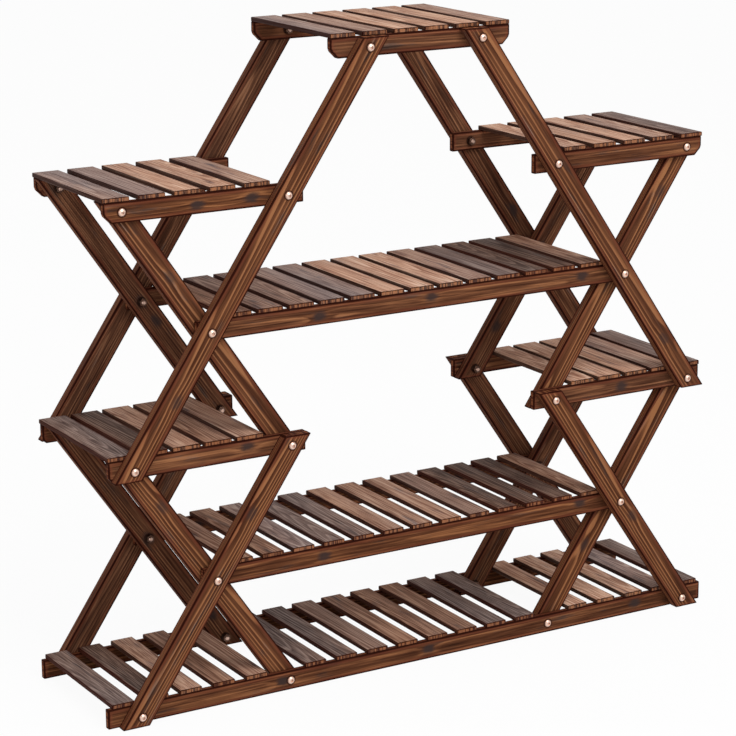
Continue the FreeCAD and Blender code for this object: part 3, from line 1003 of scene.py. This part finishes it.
# %% [markdown]
# ## Set the fasteners into the frames
# Each bolt joins a rail to the leg outside it, the leg inside it, or both. So its place along the
# stand is where that leg crosses the rail, its head sits on the outermost of the pieces that it joins
# and its washer and nut on the innermost. The copies of one kind are one array, each turned by its own
# angle, because nobody lines up bolts by hand.

# %% Place the fasteners
metal_draw = np.random.default_rng(7)
short_joints = [("top", "long_leg", None), ("upper_{side}", "long_leg", None),
                ("upper_{side}", None, "upper_cross_leg"), ("bottom", "lower_leg", None),
                ("bottom", None, "lower_cross_leg")]
long_joints = [("upper_centre", "long_leg", "upper_cross_leg"),
               ("middle_{side}", "long_leg", "lower_cross_leg"),
               ("middle_{side}", "lower_leg", "upper_cross_leg"),
               ("lower_centre", "lower_leg", "lower_cross_leg")]
# The first value darkens the bottom of the socket with painted shade, the second darkens the bolt's end.
tip_shade_and_wear = (0.45, 0.40)
# The washers are darkened all over with painted shade.
washer_shade = 0.80
nut_wear = 0.15


def bolt_site(end, side, rail, outer, inner):
    """Where a bolt goes: its place along the stand and its height, and how far the outermost and the
    innermost faces that it clamps lie from the middle of the depth."""
    rail_node = f"{end}_{rail.format(side=side)}_rail"
    height = middle_and_size(rail_node)[0][2]
    head_node = f"{end}_{side}_{outer}" if outer else rail_node
    nut_node = f"{end}_{side}_{inner}" if inner else rail_node
    head_face = max(abs(corner[1]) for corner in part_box(head_node))
    nut_face = min(abs(corner[1]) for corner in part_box(nut_node))
    return leg_x(end, side, outer or inner, height), height, head_face, nut_face


def set_down(end, kind, shape, wear_and_shade, sites, finish):
    """Copies of one shape at every site (along, out, up): turned about its own axis by a random angle,
    and laid so that its axis points out of the frame."""
    blank, quads, fans = shape
    outward = outward_sign[end]
    turn = metal_draw.uniform(0, 2 * math.pi, len(sites))[:, None]
    along = blank[:, 0] * np.cos(turn) - blank[:, 1] * np.sin(turn)
    up = blank[:, 0] * np.sin(turn) + blank[:, 1] * np.cos(turn)
    out = np.broadcast_to(blank[:, 2], up.shape)
    laid = np.stack((-outward * along, outward * out, up), axis=-1)
    points = np.array(sites)[:, None] * (1, outward, 1) + laid
    step = np.arange(len(sites))[:, None, None] * len(blank)
    faces = [(group + step).reshape(-1, group.shape[1]) for group in (quads, fans) if group is not None]
    values = {"wear_and_shade": np.repeat(np.tile(wear_and_shade, len(sites))[:, None], 3, axis=1)}
    return make_piece(f"{end}_{kind}", "metal", points.reshape(-1, 3), faces, values, finish)


def make_fasteners(end):
    """The short and long bolts of one frame, with a washer and a nut behind each of them."""
    made, backs = [], []
    for kind, joints in (("short_bolts", short_joints), ("long_bolts", long_joints)):
        sites = [bolt_site(end, side, *joint) for side in side_sign for joint in joints]
        behind = washer_thick + nut_height + bolt_end
        rows, wear_and_shade, tips = bolt_shape(sites[0][2] - sites[0][3] + behind)
        wear_and_shade = np.concatenate((np.repeat(wear_and_shade, columns), tip_shade_and_wear))
        heads = [(x, head_face, z) for x, z, head_face, _ in sites]
        made.append(set_down(end, kind, skin(rows, tips), wear_and_shade, heads, bolt_finish))
        backs += [(x, nut_face, z) for x, z, _, nut_face in sites]
    for kind, rows, depth, worn_and_shaded in (("washers", washer_shape(), washer_thick, washer_shade),
                                    ("nuts", nut_shape(), washer_thick + nut_height, nut_wear)):
        seats = [(x, face - depth, z) for x, face, z in backs]
        wear_and_shade = np.full(len(rows) * columns, worn_and_shaded)
        made.append(set_down(end, kind, skin(rows), wear_and_shade, seats, shaded_nut_finish))
    return made


fasteners = [piece for end in outward_sign for piece in make_fasteners(end)]
print(len(fasteners), "groups of fasteners,", sum(len(piece.data.polygons) for piece in fasteners), "faces")

# %% [markdown]
# ## The brads
# Brads hold the slats down. They are driven just under the face of the wood, so the measured pins stay
# as they are and only get the look of drawn wire.

# %% Finish the brads
for end in outward_sign:
    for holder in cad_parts[f"{end}_brads"].material_slots:
        holder.material = wire_finish
print("brads finished in", wire_finish.name)
